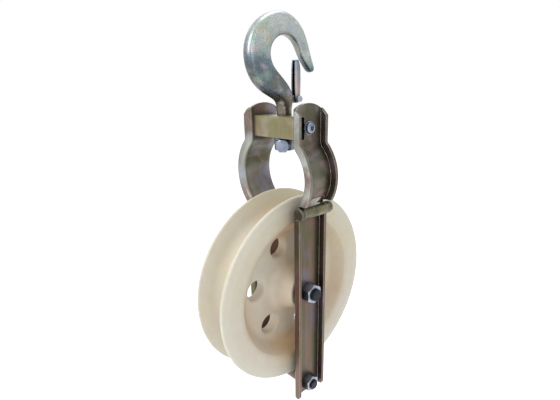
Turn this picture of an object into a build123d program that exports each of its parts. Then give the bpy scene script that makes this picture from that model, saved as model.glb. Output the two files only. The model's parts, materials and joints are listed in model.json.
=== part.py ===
from build123d import *
import os
from math import cos, radians, sin, sqrt, tan

# Stringing block: a grooved nylon wheel between two channel side plates, hung from a forged
# swivel hook. The front arm is a hinged gate, held shut by a captive bolt.
# Millimetres. The origin is the centre of the hook's throat. +Z is up, +X runs along the
# wheel's axle towards the gate, and +Y completes the frame.

# ---------------------------------------------------------------- driving dimensions
# wheel
wheel_diameter = 270.0
wheel_width = 60.0
groove_depth = 31.0
groove_mouth = 48.0
groove_flank = 12.0          # degrees between a groove flank and the wheel's middle plane
groove_root_radius = 16.0
rim_edge_radius = 3.0
rim_land = 4.0               # flat of the rim beside the groove's mouth
rim_bevel_depth = 12.0       # how far the rim's outer face slopes in from the rim
rim_bevel_radius = 8.0
recess_mouth_drop = 1.5      # rounded mouth of the recess, along the axle
recess_mouth_reach = 6.0     # rounded mouth of the recess, outwards
recess_mouth_radius = 3.0
mouth_edge_radius = 1.0
hub_edge_radius = 1.5
web_thickness = 18.0
recess_outer_radius = 101.0
recess_inner_radius = 87.0
recess_corner_radius = 9.0
hub_end_radius = 26.0
hub_base_radius = 38.0
hub_fillet_radius = 14.0
lightening_holes = 6
lightening_hole_diameter = 28.0
lightening_lip_radius = 3.5
lightening_pitch_radius = 65.0
lightening_start_angle = 50.0

# axle and bearings
axle_diameter = 17.0
axle_nut_flats = 24.0
axle_nut_height = 13.0
axle_head_height = 10.0
axle_thread_out = 5.0
bearing_outer_diameter = 40.0
bearing_width = 12.0
bearing_ring_wall = 3.4
ball_diameter = 6.7
ball_count = 8
circlip_thickness = 1.75
circlip_depth = 1.6
circlip_land = 3.0
circlip_gap = 7.0
shield_thickness = 0.6
shield_setback = 0.7
hub_setback = 3.5            # side plate to the hub's end
hub_lip = 1.0                # hub's end to the circlip

# side plates and arms
side_clearance = 9.5         # wheel rim to the side plates
sheet = 4.0
channel_width = 52.3
flange_reach = 12.8          # web's inner face to the flange's free edge
bend_radius = 6.0
rim_to_bar = 76.0            # wheel rim to the crossbar's underside
rim_to_plate_foot = 30.0
rim_to_tie = 15.0
passage_foot_drop = 12.33    # wheel rim down to where the passage's arc leaves the arms' webs
passage_radius = 50.0
passage_bulge = 18.5         # how far the arms' webs bulge outwards
passage_junction = 16.0
arm_top_rise = 16.0          # crossbar's top to the crown of an arm's top edge
arm_top_drop = 9.0           # crown to corners of an arm's top edge
flange_top_slope = 7.0       # fall of a flange's top towards its free edge
flange_top_run = 6.0
corner_radius = 5.0

# crossbar and swivel
bar_height = 28.0
bar_depth = 38.0
bar_edge_radius = 2.0
throat_to_bar = 73.0         # hook's throat centre down to the crossbar's top
shank_diameter = 20.0
collar_diameter = 27.0
collar_height = 14.0
thrust_washer_diameter = 27.0
thrust_washer_thickness = 2.5
swivel_play = 0.3
tongue_width = 8.0
tongue_height = 24.0
tongue_offset = 12.5         # centre of a tongue from the middle plane
tongue_side_clearance = 1.4
tongue_swing_clearance = 1.6
tongue_setback = 2.6         # gate's outer face to the tongue's end, at the bottom of its window
rear_tongue_setback = 1.0
rear_bolt_diameter = 12.0
rear_bolt_head = 7.5
rear_bolt_reach = 20.0       # side plate's inner face to the end of the rear bolt's hole
rear_bolt_flats = 19.0

# gate, hinge and lock bolt
hinge_below_rim = 14.4       # wheel rim down to the hinge's axis
knuckle_diameter = 16.5
knuckle_root_gap = 1.75      # hinge barrel to the side plate's web
hinge_pin_diameter = 10.0
hinge_head_length = 6.0
hinge_pin_length = 58.7
near_knuckle_length = 15.0
plate_knuckle_length = 23.6
far_knuckle_length = 10.4
knuckle_gap = 0.4
knuckle_chamfer = 0.6
root_above = 4.0             # hinge axis to the top and foot of the middle knuckle's root
root_below = 6.0
web_foot_above_hinge = 3.0
hinge_head_overhang = 0.5
hinge_washer_thickness = 1.7
head_clearance = 1.6         # room in the gate round the hinge pin's head
flange_hinge_gap = 0.95      # hinge barrel to the side plate's flanges under it
arm_hinge_gap = 2.15         # hinge barrel to the gate's flanges above it
hinge_slot_height = 17.0     # hinge axis to the top of the gate's cut-out over its middle knuckle
lock_bolt_diameter = 10.0
lock_head_diameter = 14.5
lock_head_height = 4.5
lock_washer_diameter = 17.5
lock_washer_thickness = 1.6
lock_tip = 6.5               # how far the lock bolt enters the crossbar
lock_ring_diameter = 14.0
lock_ring_thickness = 1.2
lock_socket_clearance = 2.2
lock_ring_setback = 0.8
lock_head_radius = 3.0
lock_key_flats = 6.0
lock_key_depth = 2.5
lock_socket_depth = 2.0      # room past the lock bolt's tip

# tie bolt
tie_bolt_diameter = 14.0
tie_nut_flats = 21.0
tie_nut_height = 11.0
tie_head_height = 8.8
tie_thread_out = 3.5
tie_tube_diameter = 20.0

# hook
hook_angle = 82.0            # degrees from +X to the side on which the hook's point is
hook_thickness = 22.0
hook_edge = 3.0              # step that eases the hook's edges
throat_radius = 22.5
hook_tip_angle = 13.0        # where the throat's circle meets the point's inner side
hook_back_angle = 200.0      # where the throat's circle meets the neck's inner side
throat_top_angle = 106.0
neck_overlap = 6.0           # how far the flat neck runs down into the round shank
heel_radius = 12.0
lap_radius = 15.0
# corners and waypoints of the hook's side view: outwards and upwards, in throat radii
hook_heel = (-1.3333, -2.0)
hook_back = (-2.5111, -0.1333)
hook_crown_start = (-1.7778, 1.6444)
hook_crown = (-0.2222, 2.2889)
hook_shoulder = (1.2, 1.4222)
hook_arm = (1.6889, 0.3333)
hook_tip = (2.0667, -0.5778)
hook_nose = (2.0444, -0.8667)
hook_nose_end = (1.7556, -0.9111)
hook_lap_rise = (-0.3111, -0.9778)
hook_lap = (0.2667, -1.6444)
hook_neck = 52.0             # throat centre down to where the neck becomes the round shank
latch_pivot_out = 20.0       # along the hook's plane, from the shank's axis to the latch pivot
latch_pivot_down = 53.0      # throat centre down to the latch pivot
latch_length = 48.5
latch_sheet = 1.5
latch_inside = 9.0
latch_back = 5.5             # pivot to the outer face of the latch's back
latch_front = 4.5            # pivot to the cheeks' free edges
latch_rivet_diameter = 5.0
rivet_cap = 1.6
latch_slope_height = 9.0     # sloping top of the latch's cheeks
latch_top_run = 2.5
latch_top_drop = 3.0
latch_top_wall = 2.0
latch_top_front = 1.0
lug_radius = 5.0
lug_thickness = 4.0
spring_wire = 1.0
spring_turns = 2
spring_fit = 0.25
spring_side_play = 0.15
cross_bolt_diameter = 10.0
cross_bolt_flats = 16.0
cross_bolt_head = 6.4
cross_nut_height = 8.0
cross_bolt_out = 1.5         # thread that shows past the cross bolt's nut
cross_bolt_angle = -52.0     # degrees from +X to the cross bolt's head

# clearances
running_fit = 0.05           # radial, on hinge pins and shafts
bolt_fit = 0.10              # radial, where a bolt passes through a plate
ball_fit = 0.08
end_play = 0.3
gate_gap = 0.5               # crossbar's end to the gate's web

# ---------------------------------------------------------------- derived places
wheel_radius = wheel_diameter / 2
half_gap = wheel_width / 2 + side_clearance
web_outer = half_gap + sheet
flange_edge = half_gap + flange_reach
half_channel = channel_width / 2

bar_top = -throat_to_bar
bar_bottom = bar_top - bar_height
bar_middle = (bar_top + bar_bottom) / 2
axle_z = bar_bottom - rim_to_bar - wheel_radius
arm_crown = bar_top + arm_top_rise
arm_corner = arm_crown - arm_top_drop
plate_foot = axle_z - wheel_radius - rim_to_plate_foot
tie_z = axle_z - wheel_radius - rim_to_tie
passage_half_height = sqrt(passage_bulge * (2 * passage_radius - passage_bulge))
passage_z = axle_z + wheel_radius - passage_foot_drop + passage_half_height
passage_x = half_gap + passage_bulge - passage_radius
hinge_z = axle_z + wheel_radius - hinge_below_rim
hinge_x = web_outer + knuckle_root_gap + knuckle_diameter / 2

hub_half = half_gap - hub_setback
bearing_outer_face = hub_half - hub_lip - circlip_thickness
bearing_inner_face = bearing_outer_face - bearing_width

hinge_pin_near = -hinge_pin_length / 2
near_start = hinge_pin_near + hinge_head_length + knuckle_gap
middle_start = near_start + near_knuckle_length + knuckle_gap
far_start = middle_start + plate_knuckle_length + knuckle_gap
far_end = far_start + far_knuckle_length

washer_top = bar_bottom - swivel_play
collar_top = washer_top - thrust_washer_thickness
collar_bottom = collar_top - collar_height
cross_bolt_z = (collar_top + collar_bottom) / 2

latch_pivot_z = -latch_pivot_down
big = 400.0


# ---------------------------------------------------------------- helpers
def rod_x(diameter, x_low, x_high, y=0.0, z=0.0):
    """A round bar along X between two planes."""
    bar = Cylinder(diameter / 2, x_high - x_low, align=(Align.CENTER, Align.CENTER, Align.MIN))
    return Pos(x_low, y, z) * Rot(0, 90, 0) * bar


def rod_y(diameter, y_low, y_high, x=0.0, z=0.0):
    """A round bar along Y between two planes."""
    bar = Cylinder(diameter / 2, y_high - y_low, align=(Align.CENTER, Align.CENTER, Align.MIN))
    return Pos(x, y_low, z) * Rot(-90, 0, 0) * bar


def rod_z(diameter, z_low, z_high):
    """A round bar along Z on the shank's axis."""
    bar = Cylinder(diameter / 2, z_high - z_low, align=(Align.CENTER, Align.CENTER, Align.MIN))
    return Pos(0, 0, z_low) * bar


def block(x_low, x_high, y_low, y_high, z_low, z_high):
    """A rectangular block between three pairs of planes."""
    box = Box(x_high - x_low, y_high - y_low, z_high - z_low, align=(Align.MIN,) * 3)
    return Pos(x_low, y_low, z_low) * box


def hexagon(flats, height):
    """A hexagonal head standing on the XY plane, its upper corners chamfered at 30 degrees."""
    face_radius = 0.97 * flats / 2
    skirt = height / tan(radians(30))
    cone = Cone(face_radius + skirt, face_radius, height, align=(Align.CENTER, Align.CENTER, Align.MIN))
    return extrude(RegularPolygon(flats / 2, 6, major_radius=False), height) & cone


def front_face(x, y=0.0, z=0.0):
    """The frame of a fastener that stands out of a plate towards +X."""
    return Pos(x, y, z) * Rot(0, 90, 0)


def rear_face(x, y=0.0, z=0.0):
    """The frame of a fastener that stands out of a plate towards -X."""
    return Pos(x, y, z) * Rot(0, -90, 0)


def domed_end(diameter, x_low, x_high, y, z, chamfer_size=1.0):
    """A round bar along X whose +X end is chamfered."""
    bar = rod_x(diameter, x_low, x_high, y, z)
    return chamfer(bar.edges().filter_by(GeomType.CIRCLE).sort_by(Axis.X)[-1], chamfer_size)


# ---------------------------------------------------------------- wheel and bearings
def wheel_profile():
    """The wheel's section on one side of its axle: X along the axle, Y outwards from it."""
    half = wheel_width / 2
    root = wheel_radius - groove_depth
    mouth = groove_mouth / 2
    foot = mouth - groove_depth * tan(radians(groove_flank))
    bore = bearing_outer_diameter / 2
    clip_groove = bore + circlip_depth
    clip_face = bearing_outer_face + circlip_thickness
    web = web_thickness / 2
    rim = mouth + rim_land
    face_top = wheel_radius - rim_bevel_depth
    lip = half - recess_mouth_drop
    right = [
        (foot, root), (mouth, wheel_radius), (rim, wheel_radius), (half, face_top),
        (half, recess_outer_radius + recess_mouth_reach), (lip, recess_outer_radius),
        (web, recess_inner_radius),
        (web, hub_base_radius), (hub_half, hub_end_radius), (hub_half, bore), (clip_face, bore),
        (clip_face, clip_groove), (bearing_outer_face, clip_groove), (bearing_outer_face, bore),
        (bearing_inner_face, bore), (bearing_inner_face, bore - circlip_land),
    ]
    left = [(-x, radius) for x, radius in reversed(right)]
    section = make_face(Polyline(*right, *left, close=True))
    rounds = {
        (foot, root): groove_root_radius, (mouth, wheel_radius): mouth_edge_radius,
        (rim, wheel_radius): rim_edge_radius,
        (half, face_top): rim_bevel_radius, (lip, recess_outer_radius): recess_mouth_radius,
        (web, recess_inner_radius): recess_corner_radius, (web, hub_base_radius): hub_fillet_radius,
        (hub_half, hub_end_radius): hub_edge_radius,
    }
    for (x, radius), rounding in rounds.items():
        corners = section.vertices().filter_by(
            lambda v: abs(abs(v.X) - x) < 0.01 and abs(v.Y - radius) < 0.01)
        section = fillet(corners, rounding)
    return section


def nylon_wheel():
    wheel = revolve(wheel_profile(), Axis.X)
    for number in range(lightening_holes):
        angle = radians(lightening_start_angle + number * 360 / lightening_holes)
        y, z = lightening_pitch_radius * cos(angle), lightening_pitch_radius * sin(angle)
        wheel -= rod_x(lightening_hole_diameter, -half_gap, half_gap, y, z)
    rims = wheel.edges().filter_by(GeomType.CIRCLE)
    lips = rims.filter_by(lambda edge: abs(edge.radius - lightening_hole_diameter / 2) < 0.01)
    return Pos(0, 0, axle_z) * fillet(lips, lightening_lip_radius)


ring_bore = axle_diameter / 2 + running_fit
inner_land = ring_bore + bearing_ring_wall
outer_land = bearing_outer_diameter / 2 - bearing_ring_wall
ball_orbit = (inner_land + outer_land) / 2


def bearing_place(side):
    """The middle of a bearing: side is 1 at the gate and -1 at the rear."""
    return Pos(side * (bearing_inner_face + bearing_outer_face) / 2, 0, axle_z) * Rot(0, 90, 0)


def bearing_ring(side, inner, outer):
    ring = Cylinder(outer, bearing_width) - Cylinder(inner, 2 * bearing_width)
    return bearing_place(side) * (ring - Torus(ball_orbit, ball_diameter / 2 + ball_fit))


def bearing_balls(side):
    balls = [Rot(0, 0, n * 360 / ball_count) * Pos(ball_orbit, 0, 0) * Sphere(ball_diameter / 2)
             for n in range(ball_count)]
    return Compound(children=[bearing_place(side) * ball for ball in balls])


def bearing_shield(side):
    """The thin cover in a bearing's outer mouth, clear of the inner ring."""
    cover = Cylinder(outer_land, shield_thickness) - Cylinder(inner_land + end_play, 3 * shield_thickness)
    return bearing_place(side) * Pos(0, 0, side * (bearing_width / 2 - shield_setback)) * cover


def circlip(side):
    outer = bearing_outer_diameter / 2 + circlip_depth - running_fit
    inner = bearing_outer_diameter / 2 - circlip_land
    clip = Cylinder(outer, circlip_thickness) - Cylinder(inner, 2 * circlip_thickness)
    clip -= Pos(outer, 0, 0) * Box(outer, circlip_gap, 2 * circlip_thickness)
    middle = side * (bearing_outer_face + circlip_thickness / 2)
    return Pos(middle, 0, axle_z) * Rot(0, 90, 0) * clip


def axle_sleeve(x_low, x_high):
    """A spacer tube on the axle."""
    tube = rod_x(2 * inner_land, x_low, x_high) - rod_x(2 * ring_bore, x_low - 1, x_high + 1)
    return Pos(0, 0, axle_z) * tube


# ---------------------------------------------------------------- fasteners
def through_bolt(diameter, flats, head, thread_out, nut_height, z):
    """A bolt across both side plates, with its head at the rear and its nut at the gate side."""
    tip = web_outer + nut_height + thread_out
    shaft = domed_end(diameter, -web_outer, tip, 0, z)
    return shaft + rear_face(-web_outer, 0, z) * hexagon(flats, head)


def through_nut(diameter, flats, height, z):
    nut = hexagon(flats, height) - Cylinder(diameter / 2, 3 * height)
    return front_face(web_outer, 0, z) * nut


# ---------------------------------------------------------------- side plates and arms
def inside(reach, bulged):
    """Section of the space between the arms on the gate side, grown outwards by reach."""
    wall = half_gap + reach
    foot, top = plate_foot - corner_radius, arm_crown + corner_radius
    region = Pos(0, foot) * Rectangle(wall, top - foot, align=(Align.MIN, Align.MIN))
    if not bulged:
        return region
    lobe = Pos(passage_x, passage_z) * Circle(passage_radius + reach)
    region += lobe & (Pos(0, foot) * Rectangle(big, top - foot, align=(Align.MIN, Align.MIN)))
    joins = region.vertices().filter_by(lambda v: abs(v.X - wall) < 0.01 and foot + 1 < v.Y < top - 1)
    return fillet(joins, max(passage_junction - reach, 1.0))


def channel(bulged):
    """A channel along Z with its flanges pointing to +X, bulged round the passage or straight."""
    skin = inside(flange_reach, bulged) - inside(0, bulged)
    hollow = inside(flange_reach + 1.0, bulged) - inside(sheet, bulged)
    body = extrude(Plane.XZ * skin, half_channel, both=True)
    near_web = inside(flange_reach / 2, bulged).face()

    def is_bend(edge):
        middle = edge.position_at(0.5)
        along_arm = abs(edge.tangent_at(0.5).Z) > 0.2 and abs(abs(middle.Y) - half_channel) < 0.01
        return along_arm and near_web.is_inside(Vector(middle.X, middle.Z))

    body = fillet(body.edges().filter_by(is_bend), bend_radius)
    return body - extrude(Plane.XZ * hollow, half_channel - sheet, both=True)


def arched(body, z_low):
    """Keep the stretch of a channel from z_low up to the arched top edge."""
    crown = ThreePointArc((-half_channel, arm_corner), (0, arm_crown), (half_channel, arm_corner))
    foot = Polyline((half_channel, arm_corner), (half_channel, z_low), (-half_channel, z_low),
                    (-half_channel, arm_corner))
    slope = make_face(Polyline(
        (flange_edge - flange_top_run, arm_crown + 1), (flange_edge - flange_top_run, arm_corner),
        (flange_edge + 1, arm_corner - flange_top_slope), (flange_edge + 1, arm_crown + 1), close=True))
    body -= extrude(Plane.XZ * slope, big, both=True)
    return body & extrude(Plane.YZ * make_face(crown + foot), big)


def rounded_ends(body, z_end):
    """Round the free corners of a channel's two flanges at one of its ends."""
    corners = body.edges().filter_by(Axis.Y).filter_by(
        lambda e: abs(e.center().Z - z_end) < 0.01 and abs(e.center().X - flange_edge) < 0.01)
    return fillet(corners, corner_radius)


def tongue(grow_y=0.0, grow_z=0.0, x_low=half_gap - 1.0, x_high=web_outer + 1.0):
    """The crossbar's end tongue on the gate side, or the window that takes it."""
    half_y, half_z = tongue_width / 2 + grow_y, tongue_height / 2 + grow_z
    return block(x_low, x_high, -tongue_offset - half_y, -tongue_offset + half_y,
                 bar_middle - half_z, bar_middle + half_z)


def rear_plate():
    """The rear side plate and its arm, one channel from the tie bolt to the crossbar."""
    plate = rounded_ends(arched(channel(True), plate_foot), plate_foot)
    plate -= rod_x(axle_diameter + 2 * bolt_fit, 0, big, 0, axle_z)
    plate -= rod_x(tie_bolt_diameter + 2 * bolt_fit, 0, big, 0, tie_z)
    plate -= rod_x(rear_bolt_diameter + 2 * bolt_fit, 0, big, 0, bar_middle)
    plate -= tongue(end_play, end_play)
    return plate.mirror(Plane.YZ)


def gate_plate():
    """The side plate on the gate side, which ends under the hinge."""
    flange_top = hinge_z - knuckle_diameter / 2 - flange_hinge_gap
    plate = rounded_ends(channel(False) & block(0, big, -big, big, plate_foot, flange_top), plate_foot)
    web_half = half_channel - bend_radius
    middle_end = middle_start + plate_knuckle_length
    plate += block(half_gap, web_outer, -web_half, web_half, flange_top - 1, hinge_z - 1)
    plate += block(half_gap, web_outer, middle_start, middle_end, hinge_z - 2, hinge_z + root_above)
    plate -= rod_x(axle_diameter + 2 * bolt_fit, 0, big, 0, axle_z)
    return plate - rod_x(tie_bolt_diameter + 2 * bolt_fit, 0, big, 0, tie_z)


def gate_arm():
    """The hinged front arm: bulged channel, tongue window, bolt hole and hinge cut-outs."""
    web_foot = hinge_z + web_foot_above_hinge
    flange_foot = hinge_z + knuckle_diameter / 2 + arm_hinge_gap
    arm = arched(channel(True), web_foot)
    for side in (-1, 1):
        low, high = sorted((side * (half_channel - sheet), side * big))
        arm -= block(0, big, low, high, web_foot - 1, flange_foot)
    arm -= block(web_outer + passage_bulge * 0.3, big, -big, big, web_foot - 1, flange_foot)
    arm -= rod_y(knuckle_diameter, -big, big, hinge_x, hinge_z)
    arm -= rod_y(knuckle_diameter + head_clearance, -big, near_start, hinge_x, hinge_z)
    slot_low = middle_start - 2 * knuckle_gap
    slot_high = middle_start + plate_knuckle_length + 2 * knuckle_gap
    arm -= block(0, big, slot_low, slot_high, web_foot - 1, hinge_z + hinge_slot_height)
    arm -= tongue(tongue_side_clearance, tongue_swing_clearance)
    return arm - rod_x(lock_bolt_diameter + 2 * bolt_fit, 0, big, 0, bar_middle)


# ---------------------------------------------------------------- hinge
def knuckle(start, length):
    tube = rod_y(knuckle_diameter, start, start + length, hinge_x, hinge_z)
    return chamfer(tube.edges().filter_by(GeomType.CIRCLE), knuckle_chamfer)


def pin_hole():
    return rod_y(hinge_pin_diameter + 2 * running_fit, -big, big, hinge_x, hinge_z)


def gate_knuckles():
    """The two hinge barrels welded to the gate."""
    near = knuckle(near_start, near_knuckle_length) - pin_hole()
    far = knuckle(far_start, far_knuckle_length) - pin_hole()
    return Compound(children=[near, far])


def plate_knuckle():
    """The middle hinge barrel with the root that joins it to the side plate."""
    middle_end = middle_start + plate_knuckle_length
    root = block(web_outer, hinge_x, middle_start, middle_end, hinge_z - root_below, hinge_z + root_above)
    return knuckle(middle_start, plate_knuckle_length) + root - pin_hole()


def hinge_pin():
    head_end = hinge_pin_near + hinge_head_length
    head = rod_y(knuckle_diameter + hinge_head_overhang, hinge_pin_near, head_end, hinge_x, hinge_z)
    head = chamfer(head.edges().filter_by(GeomType.CIRCLE).sort_by(Axis.Y)[0], 1.2)
    pin = rod_y(hinge_pin_diameter, head_end - 1, hinge_pin_length / 2, hinge_x, hinge_z)
    return head + chamfer(pin.edges().filter_by(GeomType.CIRCLE).sort_by(Axis.Y)[-1], 1.0)


def hinge_pin_washer():
    start = far_end + end_play
    washer = rod_y(knuckle_diameter - 1.0, start, start + hinge_washer_thickness, hinge_x, hinge_z)
    return washer - pin_hole()


# ---------------------------------------------------------------- crossbar
def crossbar():
    end = half_gap - gate_gap
    bar = block(-half_gap, end, -bar_depth / 2, bar_depth / 2, bar_bottom, bar_top)
    bar = fillet(bar.edges().filter_by(Axis.X), bar_edge_radius)
    bar += tongue(x_low=end - 1, x_high=web_outer - tongue_setback)
    bar += tongue(x_low=half_gap - 1, x_high=web_outer - rear_tongue_setback).mirror(Plane.YZ)
    bar -= rod_z(shank_diameter + 2 * running_fit, bar_bottom - 1, bar_top + 1)
    socket = lock_ring_diameter + 2 * lock_socket_clearance
    bar -= rod_x(socket, half_gap - lock_tip - lock_socket_depth, half_gap, 0, bar_middle)
    return bar - rod_x(rear_bolt_diameter, -half_gap - 1, -half_gap + rear_bolt_reach, 0, bar_middle)


def rear_crossbar_bolt():
    shaft = rod_x(rear_bolt_diameter, -web_outer, -half_gap + rear_bolt_reach - 1, 0, bar_middle)
    return shaft + rear_face(-web_outer, 0, bar_middle) * hexagon(rear_bolt_flats, rear_bolt_head)


# ---------------------------------------------------------------- gate lock bolt
lock_seat = web_outer + lock_washer_thickness


def gate_lock_bolt():
    """A button-head bolt with a hexagon socket, captive in the gate."""
    shaft = rod_x(lock_bolt_diameter, half_gap - lock_tip, lock_seat, 0, bar_middle)
    head = rod_x(lock_head_diameter, lock_seat, lock_seat + lock_head_height, 0, bar_middle)
    head = fillet(head.edges().filter_by(GeomType.CIRCLE).sort_by(Axis.X)[-1], lock_head_radius)
    key = front_face(lock_seat + lock_head_height - lock_key_depth, 0, bar_middle)
    hexagon_hole = RegularPolygon(lock_key_flats / 2, 6, major_radius=False)
    return head + shaft - key * extrude(hexagon_hole, 2 * lock_key_depth)


def lock_bolt_washer():
    washer = rod_x(lock_washer_diameter, web_outer, lock_seat, 0, bar_middle)
    return washer - rod_x(lock_bolt_diameter, 0, big, 0, bar_middle)


def lock_bolt_ring():
    low = half_gap - lock_tip + lock_ring_setback
    ring = rod_x(lock_ring_diameter, low, low + lock_ring_thickness, 0, bar_middle)
    return ring - rod_x(lock_bolt_diameter, 0, big, 0, bar_middle)


# ---------------------------------------------------------------- tie
def tie_tube():
    tube = rod_x(tie_tube_diameter, -half_gap, half_gap, 0, tie_z)
    return tube - rod_x(tie_bolt_diameter + 2 * bolt_fit, -big, big, 0, tie_z)


# ---------------------------------------------------------------- swivel hook
hook_out = (cos(radians(hook_angle)), sin(radians(hook_angle)), 0)
hook_side = (hook_out[1], -hook_out[0], 0)
hook_plane = Plane(origin=(0, 0, 0), x_dir=hook_out, z_dir=hook_side)


def on_circle(angle):
    return (throat_radius * cos(radians(angle)), throat_radius * sin(radians(angle)))


def hook_outline():
    """Side view of the hook: first coordinate along the hook's plane, second upwards."""
    neck = shank_diameter / 2
    foot = -hook_neck - neck_overlap
    start, end = on_circle(hook_tip_angle), on_circle(hook_back_angle)
    heel, back, crown_start, crown, shoulder, arm, tip, nose, nose_end, lap_rise, lap = (
        (throat_radius * out, throat_radius * up) for out, up in (
            hook_heel, hook_back, hook_crown_start, hook_crown, hook_shoulder, hook_arm, hook_tip, hook_nose,
            hook_nose_end, hook_lap_rise, hook_lap))
    neck_side = (neck, -hook_neck + neck_overlap - 2.0)
    sketch = make_face([
        Line(nose_end, start), ThreePointArc(start, on_circle(throat_top_angle), end),
        ThreePointArc(end, lap_rise, lap),
        Polyline(lap, neck_side, (neck, foot), (-neck, foot), (-neck, foot + neck_overlap - 1.0), heel),
        ThreePointArc(heel, back, crown_start), ThreePointArc(crown_start, crown, shoulder),
        ThreePointArc(shoulder, arm, tip), ThreePointArc(tip, nose, nose_end),
    ])
    for place, radius in ((heel, heel_radius), (neck_side, lap_radius)):
        corner = sketch.vertices().filter_by(lambda v: abs(v.X - place[0]) + abs(v.Y - place[1]) < 0.01)
        sketch = fillet(corner, radius)
    return sketch


def swivel_hook():
    """The forged hook with its shank, latch lug and the cross hole for the collar's bolt."""
    outline = hook_outline()
    body = extrude(hook_plane * outline, hook_thickness / 2 - hook_edge, both=True)
    body += extrude(hook_plane * offset(outline, -hook_edge), hook_thickness / 2, both=True)
    body += rod_z(shank_diameter, collar_bottom - 1.0, -hook_neck)
    arm = Rectangle(latch_pivot_out, 2 * lug_radius, align=(Align.MAX, Align.CENTER))
    lug = pivot(Circle(lug_radius) + arm)
    body += extrude(lug, lug_thickness / 2, both=True)
    body -= extrude(pivot(Circle(latch_rivet_diameter / 2)), hook_thickness, both=True)
    return body - cross_bolt_frame() * rod_x(cross_bolt_diameter, -big, big)


def cross_bolt_frame():
    return Pos(0, 0, cross_bolt_z) * Rot(0, 0, cross_bolt_angle)


def collar():
    """The round nut on the shank under the crossbar."""
    ring = chamfer(rod_z(collar_diameter, collar_bottom, collar_top).edges(), 1.0)
    ring -= rod_z(shank_diameter, collar_bottom - 1, collar_top + 1)
    return ring - cross_bolt_frame() * rod_x(cross_bolt_diameter, -big, big)


def thrust_washer():
    washer = rod_z(thrust_washer_diameter, collar_top, washer_top)
    return washer - rod_z(shank_diameter, collar_top - 1, washer_top + 1)


def collar_bolt():
    seat = collar_diameter / 2
    shaft = rod_x(cross_bolt_diameter, -seat - cross_nut_height - cross_bolt_out, seat)
    head = front_face(seat) * Rot(0, 0, 30) * hexagon(cross_bolt_flats, cross_bolt_head)
    return cross_bolt_frame() * (shaft + head)


def collar_bolt_nut():
    bore = Cylinder(cross_bolt_diameter / 2, 3 * cross_nut_height)
    nut = hexagon(cross_bolt_flats, cross_nut_height) - bore
    return cross_bolt_frame() * rear_face(-collar_diameter / 2) * Rot(0, 0, 30) * nut


# ---------------------------------------------------------------- safety latch
def pivot(shape):
    """Place a sketch drawn about the latch pivot in the hook's plane."""
    return hook_plane * Pos(latch_pivot_out, latch_pivot_z) * shape


def latch_rivet():
    half = latch_inside / 2 + latch_sheet
    pin = pivot(Circle(latch_rivet_diameter / 2 - running_fit))
    shank = extrude(pin, half + rivet_cap - running_fit, both=True)
    for side in (-1, 1):
        cap = extrude(pivot(Circle(latch_rivet_diameter * 0.8)), side * rivet_cap)
        shank += Pos(*(side * (half + 0.2) * c for c in hook_side)) * cap
    return shank


def safety_latch():
    """A folded channel of sheet with its back towards the hook's point."""
    half = latch_inside / 2 + latch_sheet
    outline = make_face(Polyline(
        (latch_back, 0), (latch_back, latch_length - latch_top_drop),
        (latch_back - latch_top_run, latch_length), (-latch_top_front, latch_length),
        (-latch_front, latch_length - latch_slope_height), (-latch_front, 0), close=True))
    blank = extrude(pivot(outline + Circle(latch_front + 0.4)), half, both=True)
    trough = make_face(Polyline(
        (latch_back - latch_sheet, -big), (latch_back - latch_sheet, latch_length - latch_top_wall),
        (-big, latch_length - latch_top_wall), (-big, -big), close=True))
    blank -= extrude(pivot(trough), latch_inside / 2, both=True)
    lug_room = Rectangle(big, big, align=(Align.CENTER, Align.MAX))
    blank -= extrude(pivot(Pos(0, lug_radius + 1.5) * lug_room), latch_inside / 2, both=True)
    return blank - extrude(pivot(Circle(latch_rivet_diameter / 2 + running_fit)), 2 * half, both=True)


def latch_spring():
    """A wire spring, coiled on the rivet on each side of the lug."""
    pitch = spring_wire + running_fit
    radius = latch_rivet_diameter / 2 + spring_wire / 2 + spring_fit
    coils = []
    for side in (-1, 1):
        for turn in range(spring_turns):
            offset = side * (lug_thickness / 2 + spring_wire / 2 + spring_side_play + turn * pitch)
            ring = Torus(radius, spring_wire / 2)
            place = hook_plane * Pos(latch_pivot_out, latch_pivot_z, offset)
            coils.append(place * ring)
    return Compound(children=coils)


# ---------------------------------------------------------------- nodes
nodes = {
    "swivel_hook": swivel_hook,
    "shank_collar": collar,
    "shank_thrust_washer": thrust_washer,
    "collar_cross_bolt": collar_bolt,
    "collar_cross_bolt_nut": collar_bolt_nut,
    "latch_rivet": latch_rivet,
    "safety_latch": safety_latch,
    "latch_spring": latch_spring,
    "crossbar": crossbar,
    "rear_crossbar_bolt": rear_crossbar_bolt,
    "rear_side_plate": rear_plate,
    "gate_side_plate": gate_plate,
    "hinge_middle_knuckle": plate_knuckle,
    "hinge_pin": hinge_pin,
    "hinge_pin_washer": hinge_pin_washer,
    "gate_arm": gate_arm,
    "gate_hinge_knuckles": gate_knuckles,
    "gate_lock_bolt": gate_lock_bolt,
    "lock_bolt_washer": lock_bolt_washer,
    "lock_bolt_retaining_ring": lock_bolt_ring,
    "axle_bolt": lambda: through_bolt(axle_diameter, axle_nut_flats, axle_head_height, axle_thread_out,
                                      axle_nut_height, axle_z),
    "axle_nut": lambda: through_nut(axle_diameter, axle_nut_flats, axle_nut_height, axle_z),
    "gate_side_axle_spacer": lambda: axle_sleeve(bearing_outer_face, half_gap),
    "rear_side_axle_spacer": lambda: axle_sleeve(-half_gap, -bearing_outer_face),
    "bearing_distance_sleeve": lambda: axle_sleeve(-bearing_inner_face, bearing_inner_face),
    "tie_bolt": lambda: through_bolt(tie_bolt_diameter, tie_nut_flats, tie_head_height, tie_thread_out,
                                     tie_nut_height, tie_z),
    "tie_bolt_nut": lambda: through_nut(tie_bolt_diameter, tie_nut_flats, tie_nut_height, tie_z),
    "tie_spacer_tube": tie_tube,
    "nylon_wheel": nylon_wheel,
}
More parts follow.
